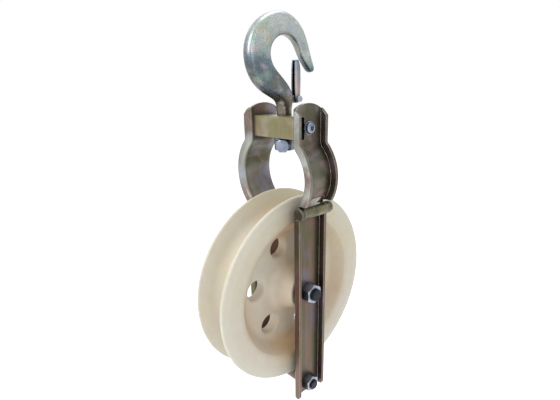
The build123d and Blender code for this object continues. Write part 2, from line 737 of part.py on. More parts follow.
for side, name in ((1, "gate_side"), (-1, "rear_side")):
    nodes[f"{name}_bearing_inner_ring"] = lambda side=side: bearing_ring(side, ring_bore, inner_land)
    nodes[f"{name}_bearing_outer_ring"] = lambda side=side: bearing_ring(
        side, outer_land, bearing_outer_diameter / 2)
    nodes[f"{name}_bearing_balls"] = lambda side=side: bearing_balls(side)
    nodes[f"{name}_bearing_shield"] = lambda side=side: bearing_shield(side)
    nodes[f"{name}_circlip"] = lambda side=side: circlip(side)

os.makedirs("parts", exist_ok=True)
for node, make in nodes.items():
    export_step(make(), f"parts/{node}.step")
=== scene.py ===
"""Stringing block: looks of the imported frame, laid out as a Blender add-on and run as a script."""

import json
from math import atan2, cos, pi, radians, sin

import bmesh
import bpy
from bpy.props import FloatProperty, FloatVectorProperty, IntProperty, PointerProperty
from mathutils import Matrix, Vector


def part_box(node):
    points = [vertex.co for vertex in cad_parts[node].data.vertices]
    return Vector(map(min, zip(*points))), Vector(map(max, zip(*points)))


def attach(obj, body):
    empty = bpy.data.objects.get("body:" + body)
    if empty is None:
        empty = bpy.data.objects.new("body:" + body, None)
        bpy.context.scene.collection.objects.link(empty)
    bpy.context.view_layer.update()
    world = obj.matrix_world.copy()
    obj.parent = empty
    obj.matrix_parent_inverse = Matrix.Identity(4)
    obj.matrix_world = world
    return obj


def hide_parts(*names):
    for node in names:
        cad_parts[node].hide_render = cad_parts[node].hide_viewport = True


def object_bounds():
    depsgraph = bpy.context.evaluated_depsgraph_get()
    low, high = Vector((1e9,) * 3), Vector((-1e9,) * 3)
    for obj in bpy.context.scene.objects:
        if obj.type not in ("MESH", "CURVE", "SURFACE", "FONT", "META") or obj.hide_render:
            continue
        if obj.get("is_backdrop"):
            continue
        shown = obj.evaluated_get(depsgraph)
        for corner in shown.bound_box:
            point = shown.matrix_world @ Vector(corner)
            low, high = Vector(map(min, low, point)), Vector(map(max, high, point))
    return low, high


bl_info = {
    "name": "Stringing block",
    "version": (1, 0, 0),
    "blender": (4, 5, 0),
    "location": "View3D > Sidebar > Stringing block",
    "description": "Dresses the stringing block's frame with forged, plated and cast nylon finishes",
    "category": "Object",
}

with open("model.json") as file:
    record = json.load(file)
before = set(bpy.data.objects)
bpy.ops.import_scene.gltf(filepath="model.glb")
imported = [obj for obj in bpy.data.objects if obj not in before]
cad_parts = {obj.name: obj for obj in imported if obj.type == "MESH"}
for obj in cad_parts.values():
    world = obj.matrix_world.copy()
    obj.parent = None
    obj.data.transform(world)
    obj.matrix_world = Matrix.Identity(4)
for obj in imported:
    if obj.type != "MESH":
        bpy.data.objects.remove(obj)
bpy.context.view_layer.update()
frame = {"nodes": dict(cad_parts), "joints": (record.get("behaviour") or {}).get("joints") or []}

MM = 0.001
WHEEL_LOW, WHEEL_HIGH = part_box("nylon_wheel")
AXLE_Z = (WHEEL_LOW.z + WHEEL_HIGH.z) / 2
WHEEL_RADIUS = (WHEEL_HIGH.z - WHEEL_LOW.z) / 2
COLLAR_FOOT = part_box("shank_collar")[0].z
# Painted shade: the crossbar is painted near-black from SOCKET_FROM outwards, where its end sits in a
# shaded socket.
SOCKET_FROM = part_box("gate_side_plate")[0].x + 0.3 * MM  # the crossbar is dark from here outwards
THREAD_PITCH = 2.0 * MM

# The latch's pivot, and the hook's own directions: sideways, out towards its mouth, and up.
LATCH_JOINT = next(joint for joint in frame["joints"] if joint["name"] == "latch_open")
LATCH_PIVOT = Vector(LATCH_JOINT["pos_m"])
HOOK_SIDE = Vector(LATCH_JOINT["axis"]).normalized()
HOOK_OUT = Vector((0, 0, 1)).cross(HOOK_SIDE)
HOOK_FRAME = Matrix((
    (HOOK_OUT.x, 0, HOOK_SIDE.x, 0), (HOOK_OUT.y, 0, HOOK_SIDE.y, 0), (0, 1, 0, 0), (0, 0, 0, 1)))

# Colours of the platings: two that drift into each other, a third in patches, and the rubbed edge.
SHEARED_STEEL = (0.47, 0.40, 0.38)
RUBBED_ZINC = (0.62, 0.65, 0.70)
VIOLET_FILM = (0.14, 0.135, 0.17)
# Painted shade: near-black for the crossbar's end in its socket.
SOCKET_PAINTED_SHADE = (0.012, 0.011, 0.010)
STRAW_FILM = ((0.22, 0.20, 0.10), (0.40, 0.25, 0.21))
KNUCKLE_FILM = ((0.17, 0.155, 0.10), (0.07, 0.065, 0.05), (0.30, 0.27, 0.16))
KNUCKLE_RUBBED = (0.60, 0.56, 0.42)
ZINC_FILM = ((0.20, 0.24, 0.33), (0.36, 0.37, 0.36))
NUT_FILM = ((0.42, 0.46, 0.55), (0.30, 0.33, 0.42), (0.52, 0.54, 0.58))
NUT_RUBBED = (0.78, 0.81, 0.87)
THREAD_FILM = ((0.014, 0.016, 0.022), (0.009, 0.010, 0.016), (0.035, 0.035, 0.04))
THREAD_RUBBED = (0.16, 0.17, 0.20)
LATCH_FILM = ((0.27, 0.30, 0.35), (0.20, 0.24, 0.30), (0.46, 0.33, 0.30))
STEEL_FILM = ((0.4, 0.4, 0.42), (0.32, 0.32, 0.34), (0.45, 0.43, 0.4))
STEEL_RUBBED = (0.7, 0.7, 0.7)

# Colours of the arms' upper parts: a painted shade and a painted pale reflection, a rosy tint, and a
# painted violet reflection.
ARM_SHADE = (0.085, 0.085, 0.055)
ARM_PAINTED_REFLECTION = (0.44, 0.46, 0.42)
ARM_BLUSH = (0.30, 0.19, 0.20)
ARM_VIOLET_REFLECTION = (0.25, 0.27, 0.36)

# Colours of the forging, from its shank upwards, and of the drift over it.
SHANK_KHAKI = (0.19, 0.17, 0.12)
NECK_SLATE = (0.12, 0.15, 0.17)
BOWL_BLUE = (0.17, 0.225, 0.25)
CROWN_PALE = (0.52, 0.56, 0.54)
CROWN_BLUE = (0.36, 0.42, 0.49)
FORGING_GREEN = (0.26, 0.40, 0.33)
FORGING_ROSE = (0.44, 0.36, 0.46)
FORGING_STRAW = (0.50, 0.46, 0.30)
FORGING_RUBBED = (0.60, 0.63, 0.66)

# Colours of the nylon: a painted amber glow of light soaking into it, a yellow tint, and a painted
# edge highlight.
NYLON_GLOW_AMBER = (0.72, 0.46, 0.22)
NYLON_YELLOW = (0.64, 0.58, 0.37)
NYLON_EDGE_HIGHLIGHT = (0.80, 0.79, 0.76)


# ---------------------------------------------------------------- settings
def colour(name, description, value):
    return FloatVectorProperty(name=name, description=description, subtype="COLOR", size=3,
                               min=0, max=1, default=value)


def length(name, description, value):
    return FloatProperty(name=name, description=description, default=value, min=0,
                         subtype="DISTANCE", unit="LENGTH")


class FinishSettings(bpy.types.PropertyGroup):
    """Colours of the block's finishes."""

    chromate_olive: colour(
        "Chromate olive", "Green-brown part of the yellow chromate plating", (0.115, 0.105, 0.060))
    chromate_rose: colour(
        "Chromate rose", "Pinkish-brown part of the yellow chromate plating", (0.165, 0.105, 0.085))
    chromate_straw: colour(
        "Chromate straw", "Pale yellow part of the yellow chromate plating", (0.31, 0.285, 0.19))
    zinc: colour("Clear zinc", "Clear zinc plating of the fasteners", (0.30, 0.33, 0.40))
    forging: colour("Forging", "Pale zinc plating of the forged hook", (0.40, 0.46, 0.45))
    nylon: colour("Nylon", "Cast nylon of the wheel", (0.65, 0.62, 0.535))
    nylon_glow: colour("Nylon glow", "Painted amber glow of light soaking into the nylon", (0.60, 0.43, 0.27))
    backdrop: colour("Backdrop", "Floor and backdrop", (0.93, 0.93, 0.93))


class ShapeSettings(bpy.types.PropertyGroup):
    """Sizes of the pieces that are modelled here."""

    hook_thickness: length("Hook thickness", "Greatest thickness of the forging", 21.6 * MM)
    shank_radius: length("Shank radius", "Radius of the hook's round shank", 10 * MM)
    hook_segments: IntProperty(
        name="Hook segments", description="Points round the forging's section", default=16)
    latch_sheet: length("Latch sheet", "Thickness of the latch's sheet", 1.4 * MM)


# ---------------------------------------------------------------- node helpers
def feed(tree, socket, value):
    """Links a socket to another one, or sets it to a number, a vector or a colour."""
    if isinstance(value, bpy.types.NodeSocket):
        tree.links.new(value, socket)
    elif socket.type == "RGBA":
        socket.default_value = (*value[:3], 1)
    else:
        socket.default_value = value


def fill(tree, node, inputs):
    """Feeds a node's inputs, each given by its name or number."""
    for key, value in inputs.items():
        feed(tree, node.inputs[key], value)
    return node


def add(tree, kind, inputs, **properties):
    """A node in a tree, with its properties set and its inputs fed."""
    node = tree.nodes.new(kind)
    for name, value in properties.items():
        setattr(node, name, value)
    return fill(tree, node, inputs)


def ramp(tree, source, stops):
    """A colour ramp from (position, colour or grey level) stops."""
    node = add(tree, "ShaderNodeValToRGB", {"Fac": source})
    elements = node.color_ramp.elements  # a new ramp already has two
    for number, (position, value) in enumerate(stops):
        rgb = (value,) * 3 if isinstance(value, (int, float)) else tuple(value)
        element = elements[number] if number < 2 else elements.new(position)
        element.position = position
        element.color = (*rgb[:3], 1)
    return node.outputs["Color"]


def band(tree, source, low, high, dark=0.0, light=1.0):
    """Grey that goes from dark to light as the source goes from low to high."""
    return ramp(tree, source, ((low, dark), (high, light)))


def mix(tree, factor, first, second, blend="MIX"):
    """Mixes two colours. Each may be a socket or a colour, and the factor a socket or a number."""
    node = add(tree, "ShaderNodeMix", {}, data_type="RGBA", blend_type=blend)
    feed(tree, node.inputs[0], factor)
    for number, value in ((6, first), (7, second)):
        feed(tree, node.inputs[number], value)
    return node.outputs[2]


def calc(tree, operation, first, second=0.0, clamp=False):
    return add(tree, "ShaderNodeMath", {0: first, 1: second}, operation=operation,
               use_clamp=clamp).outputs[0]


def times(tree, first, second):
    return calc(tree, "MULTIPLY", first, second)


def plus(tree, first, second):
    return calc(tree, "ADD", first, second)


def scaled(tree, value, factor, offset):
    """The value times a factor, plus an offset."""
    return plus(tree, times(tree, value, factor), offset)


def tinted(tree, base, tint, mask, strength):
    """The base turned towards a tint where the mask is light."""
    return mix(tree, times(tree, mask, strength), base, tint)


def noise(tree, vector, scale, detail=3.0, roughness=0.55, distortion=0.0):
    return add(tree, "ShaderNodeTexNoise", {
        "Vector": vector, "Scale": scale, "Detail": detail, "Roughness": roughness,
        "Distortion": distortion}).outputs["Fac"]


def patches(tree, vector, scale, low, high, roughness=0.55, distortion=0.0):
    """Soft-edged patches: dark where the noise is under low, and light where it is over high."""
    cloud = noise(tree, vector, scale, detail=2.0, roughness=roughness, distortion=distortion)
    return band(tree, cloud, low, high)


def stretched(tree, vector, scale):
    """The vector scaled along each axis, for streaks."""
    return add(tree, "ShaderNodeMapping", {"Vector": vector, "Scale": scale}).outputs["Vector"]


def parts_of(tree, vector):
    """The X, Y and Z of a vector."""
    return add(tree, "ShaderNodeSeparateXYZ", {0: vector}).outputs


def surface_normal(tree):
    return add(tree, "ShaderNodeNewGeometry", {}).outputs["Normal"]


# ---------------------------------------------------------------- shader groups
FLOAT, COLOR, VECTOR = "NodeSocketFloat", "NodeSocketColor", "NodeSocketVector"


def new_group(name, inputs, outputs):
    """A node group with named sockets, its given outputs and its result's inputs."""
    group = bpy.data.node_groups.new(name, "ShaderNodeTree")
    for label, kind, value in inputs:
        socket = group.interface.new_socket(label, in_out="INPUT", socket_type=kind)
        if value is not None:
            socket.default_value = value
    for label, kind in outputs:
        group.interface.new_socket(label, in_out="OUTPUT", socket_type=kind)
    given = group.nodes.new("NodeGroupInput").outputs
    return group, given, group.nodes.new("NodeGroupOutput")


def plating_group():
    """Thin-film tints of chromate plating: patches, and streaks along the part."""
    group, given, result = new_group(
        "plating tints",
        [("Vector", VECTOR, None), ("First", COLOR, None), ("Second", COLOR, None),
         ("Third", COLOR, None), ("Size", FLOAT, 18.0), ("Streaks", FLOAT, 0.5)],
        [("Color", COLOR), ("Roughness", FLOAT), ("Height", FLOAT)])
    place, size = given["Vector"], given["Size"]
    patch = noise(group, place, size, detail=2.0, roughness=0.5, distortion=0.6)
    drawn = stretched(group, place, (1.0, 1.0, 0.12))
    streak = noise(group, drawn, times(group, size, 6.0), detail=4.0, roughness=0.5)
    fine = noise(group, place, scale=900.0, detail=2.0)
    spread = plus(group, patch, times(group, calc(group, "SUBTRACT", streak, 0.5), given["Streaks"]))
    base = mix(group, band(group, spread, 0.36, 0.58), given["First"], given["Second"])
    third = patches(group, place, 31.0, 0.52, 0.72)
    film = tinted(group, base, given["Third"], third, 0.75)
    shade = band(group, streak, 0.25, 0.75, dark=0.72, light=1.1)
    fill(group, result, {
        "Color": mix(group, 0.8, film, shade, "MULTIPLY"),
        "Roughness": plus(group, scaled(group, streak, 0.22, 0.22), times(group, fine, 0.08)),
        "Height": plus(group, times(group, streak, 0.5), times(group, fine, 0.3)),
    })
    return group


def wear_and_shade_group():
    """Rounds hard edges in the light and finds them, so that they can be shown rubbed bright, and on
    the nylon as a painted highlight; also paints shade into corners and gaps by their occlusion.
    """
    group, given, result = new_group(
        "edge wear",
        [("Color", COLOR, None), ("Worn and highlight", COLOR, None), ("Amount", FLOAT, 0.6),
         ("Radius", FLOAT, 1 * MM), ("Corner shade", FLOAT, 0.85)],
        [("Color", COLOR), ("Normal", VECTOR)])
    place = add(group, "ShaderNodeTexCoord", {}).outputs["Object"]
    rounded = add(group, "ShaderNodeBevel", {"Radius": given["Radius"]}, samples=6).outputs["Normal"]
    facing = add(group, "ShaderNodeVectorMath", {0: rounded, 1: surface_normal(group)},
                 operation="DOT_PRODUCT").outputs["Value"]
    edge = band(group, calc(group, "SUBTRACT", 1.0, facing), 0.01, 0.16)
    broken = band(group, noise(group, place, scale=180.0, detail=4.0), 0.3, 0.6, dark=0.35)
    mask = times(group, times(group, edge, broken), given["Amount"])
    # Painted shade: corners, creases and gaps are darkened by their ambient occlusion.
    corner = add(group, "ShaderNodeAmbientOcclusion", {"Distance": 16 * MM}, samples=8).outputs["AO"]
    painted_corner_shade = mix(group, 1.0, given["Color"], band(group, corner, 0.25, 0.85), "MULTIPLY")
    corner_shaded = mix(group, given["Corner shade"], given["Color"], painted_corner_shade)
    fill(group, result, {"Color": mix(group, mask, corner_shaded, given["Worn and highlight"]), "Normal": rounded})
    return group


def place_group(tree, group, inputs):
    node = tree.nodes.new("ShaderNodeGroup")
    node.node_tree = group
    return fill(tree, node, inputs).outputs


# ---------------------------------------------------------------- materials
def blank_material(name):
    """A material, its node tree and its shader."""
    material = bpy.data.materials.new(name)
    material.use_nodes = True
    return material, material.node_tree, material.node_tree.nodes["Principled BSDF"]


def object_place(tree):
    return add(tree, "ShaderNodeTexCoord", {}).outputs["Object"]


def bumped(tree, height, strength, distance, normal=None):
    inputs = {"Height": height, "Strength": strength, "Distance": distance}
    if normal:
        inputs["Normal"] = normal
    return add(tree, "ShaderNodeBump", inputs).outputs["Normal"]


def arm_tints_and_reflections(tree, place, film):
    """The arms' plating above the wheel: rosy clouds of tint, and painted reflections in pale and
    violet clouds, pale on faces turned to the near side and painted shade on the rest.
    """
    parts = parts_of(tree, place)
    above = band(tree, plus(tree, parts["Z"], 0.5), 0.30, 0.34)
    reflection_clouds = band(tree, noise(tree, place, scale=27.0, distortion=0.5), 0.36, 0.6, dark=0.1)
    # Painted reflection and shade: where the clouds lie, faces turned to the near (-Y) side, on the
    # near side, are painted pale, the rest dark.
    lit_facing = scaled(tree, parts_of(tree, surface_normal(tree))["Y"], -0.5, 0.5)
    near_side = band(tree, scaled(tree, parts["Y"], 12.0, 0.5), 0.3, 0.7, dark=1.0, light=0.35)
    lit_facing = times(tree, lit_facing, near_side)
    soft = noise(tree, place, scale=17.0, detail=2.0, roughness=0.5, distortion=0.5)
    light = band(tree, plus(tree, times(tree, lit_facing, 0.55), times(tree, soft, 0.7)), 0.50, 0.92)
    pale = mix(tree, light, ARM_SHADE, ARM_PAINTED_REFLECTION)
    blush = patches(tree, place, 41.0, 0.54, 0.68, roughness=0.5, distortion=1.0)
    # Painted reflection: violet patches.
    violet_reflection = patches(tree, place, 21.0, 0.52, 0.68, roughness=0.5, distortion=0.8)
    for tint, mask, strength in ((pale, reflection_clouds, 0.9), (ARM_BLUSH, blush, 0.45),
                                 (ARM_VIOLET_REFLECTION, violet_reflection, 0.5)):
        film = mix(tree, times(tree, above, times(tree, mask, strength)), film, tint)
    return film


def plated(name, groups, films, worn, size, streaks, metallic=0.85, edge=1.1 * MM, thread=False,
           socket=False, arms=False):
    """Steel under a plating that drifts between three films and is worn bright along its edges."""
    material, tree, shader = blank_material(name)
    place = object_place(tree)
    first, second, third = films
    tints = place_group(tree, groups["tints"], {
        "Vector": place, "First": first, "Second": second, "Third": third, "Size": size,
        "Streaks": streaks})
    film = arm_tints_and_reflections(tree, place, tints["Color"]) if arms else tints["Color"]
    wear_and_shade = place_group(tree, groups["wear_and_shade"], {
        "Color": film, "Worn and highlight": worn, "Amount": 0.85, "Radius": edge})
    film, height, along = wear_and_shade["Color"], tints["Height"], parts_of(tree, place)["X"]
    # Painted shade: the crossbar's end in its socket is painted near-black and not metallic.
    if socket:
        in_socket_shade = calc(tree, "GREATER_THAN", along, SOCKET_FROM)
        film = mix(tree, in_socket_shade, film, SOCKET_PAINTED_SHADE)
        metallic = times(tree, calc(tree, "SUBTRACT", 1.0, in_socket_shade), metallic)
    if thread:
        waves = calc(tree, "SINE", times(tree, along, 2 * pi / THREAD_PITCH))
        height = scaled(tree, waves, 1.5, height)
    fill(tree, shader, {
        "Base Color": film, "Metallic": metallic, "Roughness": tints["Roughness"],
        "Normal": bumped(tree, height, strength=0.2, distance=0.4 * MM,
                         normal=wear_and_shade["Normal"])})
    return material


def forged(name, groups, base):
    """Zinc over a forged skin: khaki on the shank, blue-grey then paler above, with tinted drift and
    painted shade on faces turned downwards.
    """
    material, tree, shader = blank_material(name)
    place = object_place(tree)
    parts = parts_of(tree, place)
    lean = scaled(tree, parts["Y"], 2.6, 0.5)
    level = scaled(tree, parts["Z"], 8.5, lean)
    wander = plus(tree, level, calc(tree, "SUBTRACT", noise(tree, place, scale=35.0), 0.5))
    skin = ramp(tree, wander, ((0.0, SHANK_KHAKI), (0.13, NECK_SLATE), (0.30, BOWL_BLUE),
                               (0.55, base), (0.75, CROWN_PALE), (0.95, CROWN_BLUE)))
    green = patches(tree, place, 48.0, 0.52, 0.68)
    rose = patches(tree, stretched(tree, place, (1.0, 1.0, 1.7)), 62.0, 0.54, 0.7)
    straw = patches(tree, stretched(tree, place, (1.3, 0.8, 1.0)), 55.0, 0.55, 0.7, roughness=0.5,
                    distortion=0.4)
    for tint, mask, strength in ((FORGING_GREEN, green, 0.55), (FORGING_ROSE, rose, 0.5),
                                 (FORGING_STRAW, straw, 0.5)):
        skin = tinted(tree, skin, tint, mask, strength)
    speckle = noise(tree, place, scale=620.0, roughness=0.7)
    speckle = band(tree, speckle, 0.36, 0.6, dark=0.62, light=1.08)
    skin = mix(tree, 0.75, skin, speckle, "MULTIPLY")
    # Painted shade: faces turned downwards are darkened.
    facing = parts_of(tree, surface_normal(tree))["Z"]
    painted_underside_shade = band(tree, scaled(tree, facing, 0.5, 0.5), 0.18, 0.5, dark=0.42)
    skin = mix(tree, 1.0, skin, painted_underside_shade, "MULTIPLY")
    wear_and_shade = place_group(tree, groups["wear_and_shade"], {
        "Color": skin, "Worn and highlight": FORGING_RUBBED, "Amount": 0.4, "Radius": 1.5 * MM, "Corner shade": 0.6})
    hammered = noise(tree, place, scale=170.0, detail=5.0, roughness=0.6)
    fine = noise(tree, place, scale=700.0, roughness=0.6)
    fill(tree, shader, {
        "Base Color": wear_and_shade["Color"], "Metallic": 0.8, "Roughness": scaled(tree, hammered, 0.22, 0.16),
        "Normal": bumped(tree, plus(tree, hammered, times(tree, fine, 0.35)), strength=0.45,
                         distance=0.9 * MM)})
    return material


def nylon_material(name, groups, base, glow):
    """Cast nylon: ivory, with a painted amber glow where the light soaks in, and faint clouding."""
    material, tree, shader = blank_material(name)
    place = object_place(tree)
    centred = add(tree, "ShaderNodeVectorMath", {0: place, 1: (0, 0, AXLE_Z)}, operation="SUBTRACT")
    flat = add(tree, "ShaderNodeVectorMath", {0: centred.outputs[0], 1: (0, 1, 1)},
               operation="MULTIPLY")
    radius = add(tree, "ShaderNodeVectorMath", {0: flat.outputs[0]}, operation="LENGTH")
    span = calc(tree, "DIVIDE", radius.outputs["Value"], WHEEL_RADIUS)
    cloud = noise(tree, place, scale=13.0)
    # Painted glow: amber by depth from the axle and near the plates, standing in for light soaking
    # into the nylon.
    depth = ramp(tree, span, ((0.22, 0.65), (0.48, 0.35), (0.70, 0.95), (0.80, 0.30), (0.96, 0.02)))
    painted_glow_depth = calc(tree, "MULTIPLY", depth, band(tree, cloud, 0.35, 0.65, dark=0.3), clamp=True)
    sideways = calc(tree, "ABSOLUTE", parts_of(tree, place)["Y"])
    near_plates = band(tree, calc(tree, "DIVIDE", sideways, WHEEL_RADIUS), 0.12, 0.42,
                       dark=1.0, light=0.0)
    inside_rim = ramp(tree, span, ((0.50, 0.25), (0.68, 1.0), (0.80, 0.55), (0.90, 0.0)))
    painted_glow_near_plates = times(tree, near_plates, inside_rim)
    yellow = patches(tree, place, 8.0, 0.45, 0.68, roughness=0.5, distortion=0.5)
    skin = base
    for tint, mask, strength in ((glow, painted_glow_depth, 0.9), (NYLON_GLOW_AMBER, painted_glow_near_plates, 0.75),
                                 (NYLON_YELLOW, yellow, 0.45)):
        skin = tinted(tree, skin, tint, mask, strength)
    dust = noise(tree, place, scale=70.0, detail=6.0, roughness=0.7)
    dust = band(tree, dust, 0.30, 0.62, dark=0.88)
    # Painted highlight: the nylon's rounded edges are painted near-white where the light catches them.
    wear_and_shade = place_group(tree, groups["wear_and_shade"], {
        "Color": mix(tree, 0.5, skin, dust, "MULTIPLY"), "Worn and highlight": NYLON_EDGE_HIGHLIGHT, "Amount": 0.55,
        "Radius": 4 * MM, "Corner shade": 0.12})
    fill(tree, shader, {
        "Base Color": wear_and_shade["Color"], "Roughness": scaled(tree, cloud, 0.2, 0.36),
        "Subsurface Weight": 0.35, "Subsurface Radius": (0.016, 0.009, 0.005),
        "Specular IOR Level": 0.4,
        "Normal": bumped(tree, noise(tree, place, scale=260.0), strength=0.08, distance=0.5 * MM,
                         normal=wear_and_shade["Normal"])})
    return material


def make_materials(finish):
    """Every finish by its short name."""
    groups = {"tints": plating_group(), "wear_and_shade": wear_and_shade_group()}
    chromate = (finish.chromate_olive, finish.chromate_rose, VIOLET_FILM)
    return {
        "chromate": plated("yellow chromate", groups, chromate, SHEARED_STEEL, size=15.0, streaks=1.8,
                           arms=True),
        "chromate_pale": plated("pale chromate", groups, (finish.chromate_straw, *STRAW_FILM),
                                SHEARED_STEEL, size=48.0, streaks=0.4, metallic=0.6, socket=True),
        "knuckle": plated("knuckle chromate", groups, KNUCKLE_FILM, KNUCKLE_RUBBED, size=75.0,
                          streaks=0.6),
        "zinc": plated("clear zinc", groups, (finish.zinc, *ZINC_FILM), RUBBED_ZINC, size=90.0,
                       streaks=0.2, metallic=0.95, edge=0.7 * MM),
        "dark_zinc": plated("dull zinc", groups, NUT_FILM, NUT_RUBBED, size=120.0, streaks=0.3,
                            metallic=0.9, edge=0.9 * MM),
        "thread": plated("dull thread", groups, THREAD_FILM, THREAD_RUBBED, size=120.0, streaks=0.3,
                         metallic=0.8, edge=0.6 * MM, thread=True),
        "latch": plated("latch zinc", groups, LATCH_FILM, RUBBED_ZINC, size=75.0, streaks=0.8,
                        metallic=0.9, edge=0.6 * MM),
        "forging": forged("forged zinc", groups, finish.forging),
        "nylon": nylon_material("cast nylon", groups, finish.nylon, finish.nylon_glow),
        "steel": plated("bearing steel", groups, STEEL_FILM, STEEL_RUBBED, size=80.0, streaks=0.1,
                        metallic=1.0, edge=0.3 * MM),
    }


MATERIALS = {}


# ---------------------------------------------------------------- mesh helpers
def finished(name, maker, material, body, level=0, angle=40.0):
    """Turns a bmesh into a smooth-shaded piece that rides on a body."""
    mesh = bpy.data.meshes.new(name)
    bmesh.ops.recalc_face_normals(maker, faces=maker.faces)
    maker.to_mesh(mesh)
    maker.free()
    piece = bpy.data.objects.new(name, mesh)
    bpy.context.scene.collection.objects.link(piece)
    mesh.materials.append(MATERIALS[material])
    for polygon in mesh.polygons:
        polygon.use_smooth = True
    if level:
        smoother = piece.modifiers.new("smooth", "SUBSURF")
        smoother.levels = smoother.render_levels = level
    else:
        mesh.set_sharp_from_angle(angle=radians(angle))
    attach(piece, body)
    return piece


def edges_of(verts):
    return list({edge for vertex in verts for edge in vertex.link_edges})


def ring_of(maker, centre, across, half_across, half_up, segments, power):
    """A closed ring of edges on a rounded, superellipse section of the hook."""
    verts = bmesh.ops.create_circle(maker, segments=segments, radius=1.0)["verts"]
    for vertex in verts:
        turn = atan2(vertex.co.y, vertex.co.x)
        c, s = cos(turn), sin(turn)
        x = half_across * abs(c) ** (2 / power) * (1 if c >= 0 else -1)
        y = half_up * abs(s) ** (2 / power) * (1 if s >= 0 else -1)
        vertex.co = centre + across * x + HOOK_SIDE * y
    return edges_of(verts)


def bridged(maker, rings, cap_sides):
    """Joins the rings in order and closes both ends."""
    for first, second in zip(rings, rings[1:]):
        bmesh.ops.bridge_loops(maker, edges=first + second)
    bmesh.ops.holes_fill(maker, edges=maker.edges, sides=cap_sides)


# ---------------------------------------------------------------- the forged hook
# Heights of the shank's rings. The lowest two keep its end sharp under the smoothing.
SHANK_LEVELS = (COLLAR_FOOT - 1 * MM, COLLAR_FOOT - 0.4 * MM, -0.100, -0.0745, -0.0715, -0.063)
ROUND, FORGED, BLUNT = 2.0, 3.2, 2.3  # powers of the sections: a circle, a flattened oval, the tip
# Pairs of (outer, inner) points of the hook's side view, from shank to point, in mm.
HOOK_STATIONS = (
    ((-10.0, -58.0), (10.0, -58.0)), ((-12.0, -54.0), (10.6, -50.0)),
    ((-22.0, -49.0), (8.5, -42.5)), ((-35.0, -42.5), (3.0, -33.5)),
    ((-46.0, -32.5), (-6.5, -24.0)), ((-53.0, -19.5), (-15.5, -16.2)),
    ((-56.2, -5.0), (-21.4, -6.5)), ((-55.8, 9.0), (-22.3, 4.5)),
    ((-51.0, 23.0), (-19.0, 12.5)), ((-42.5, 35.5), (-14.0, 18.0)),
    ((-30.5, 45.0), (-8.0, 21.3)), ((-16.0, 50.6), (-2.5, 22.6)),
    ((-2.0, 51.2), (3.0, 22.4)), ((11.0, 47.0), (8.8, 20.6)),
    ((21.5, 39.0), (14.0, 17.2)), ((29.5, 28.5), (18.5, 12.0)),
    ((35.0, 16.0), (21.6, 5.0)), ((39.5, 3.0), (26.0, -3.5)),
    ((43.8, -8.0), (32.0, -11.5)), ((46.2, -14.5), (37.0, -17.6)),
)
NECK_RUN, NECK_THICK, NECK_GAIN = 0.2, 0.93, 0.5  # the neck is a little thinner than the bowl
TAPER_FROM, TAPER_LOSS = 0.55, 0.38  # the forging thins from here to its point, by this share
TIP_LINE = ((41.6, -16.0), (44.6, -21.0))  # the way the point's rounded end runs, in mm
TIP_RINGS = ((2.4, 0.84), (4.0, 0.5))  # mm beyond the last station, and share of its section


def hook_point(point):
    """A point of the hook's side view, in mm, in its place."""
    return HOOK_OUT * point[0] * MM + Vector((0, 0, point[1] * MM))


def hook_thickness_share(run):
    """Share of the greatest thickness, at a run of 0 at the shank to 1 at the point."""
    if run < NECK_RUN:
        return min(1.0, NECK_THICK + NECK_GAIN * run)
    return 1.0 - TAPER_LOSS * max(0.0, run - TAPER_FROM) / (1 - TAPER_FROM)


def forging_piece(shape):
    """The hook and its shank, swept through its stations and smoothed."""
    maker = bmesh.new()
    segments, half = shape.hook_segments, shape.hook_thickness / 2
    rings = [ring_of(maker, Vector((0, 0, z)), HOOK_OUT, shape.shank_radius, shape.shank_radius,
                     segments, ROUND) for z in SHANK_LEVELS]
    for number, (outer, inner) in enumerate(HOOK_STATIONS):
        a, b = hook_point(outer), hook_point(inner)
        across, middle, half_across = (b - a).normalized(), (a + b) / 2, (b - a).length / 2
        thick = half * hook_thickness_share(number / (len(HOOK_STATIONS) - 1))
        rings.append(ring_of(maker, middle, across, half_across, thick, segments, FORGED))
    before, after = (hook_point(point) for point in TIP_LINE)
    beyond = (after - before).normalized()
    for step, share in TIP_RINGS:
        rings.append(ring_of(maker, middle + beyond * step * MM, across, half_across * share,
                             thick * share, segments, BLUNT))
    bridged(maker, rings, segments)
    return maker


LUG_RADIUS, LUG_THICK, LUG_REACH, LUG_ROUNDING = 5 * MM, 4 * MM, 9 * MM, 0.7 * MM


def lug_piece():
    """The lug that carries the latch's rivet, at the foot of the hook's bowl."""
    maker = bmesh.new()
    bmesh.ops.create_cone(maker, cap_ends=True, segments=28, radius1=LUG_RADIUS,
                          radius2=LUG_RADIUS, depth=LUG_THICK)
    for vertex in maker.verts:
        if vertex.co.x < 0:
            vertex.co.x -= LUG_REACH
    rims = [edge for edge in maker.edges if edge.verts[0].co.z * edge.verts[1].co.z > 0]
    bmesh.ops.bevel(maker, geom=rims, offset=LUG_ROUNDING, affect="EDGES", segments=3,
                    profile=0.5, material=-1)
    maker.transform(Matrix.Translation(LATCH_PIVOT) @ HOOK_FRAME)
    return maker


# ---------------------------------------------------------------- the bent latch
# Height over the pivot, place towards the mouth, half bow and half width of the bent sheet, in mm.
LATCH_STATIONS = (
    (-4.6, -0.6, 3.0, 4.4), (-2.5, -0.7, 4.4, 5.8), (4.0, -0.9, 5.4, 5.9), (14.0, -0.9, 6.1, 5.9),
    (25.0, -0.8, 6.3, 5.9), (36.0, -0.9, 6.0, 5.8), (43.0, -1.2, 5.2, 5.4), (48.2, -1.7, 4.0, 4.6),
)
LATCH_SEGMENTS = 32
LATCH_HALF_TURN = radians(140)  # the sheet is bent this far round to each side


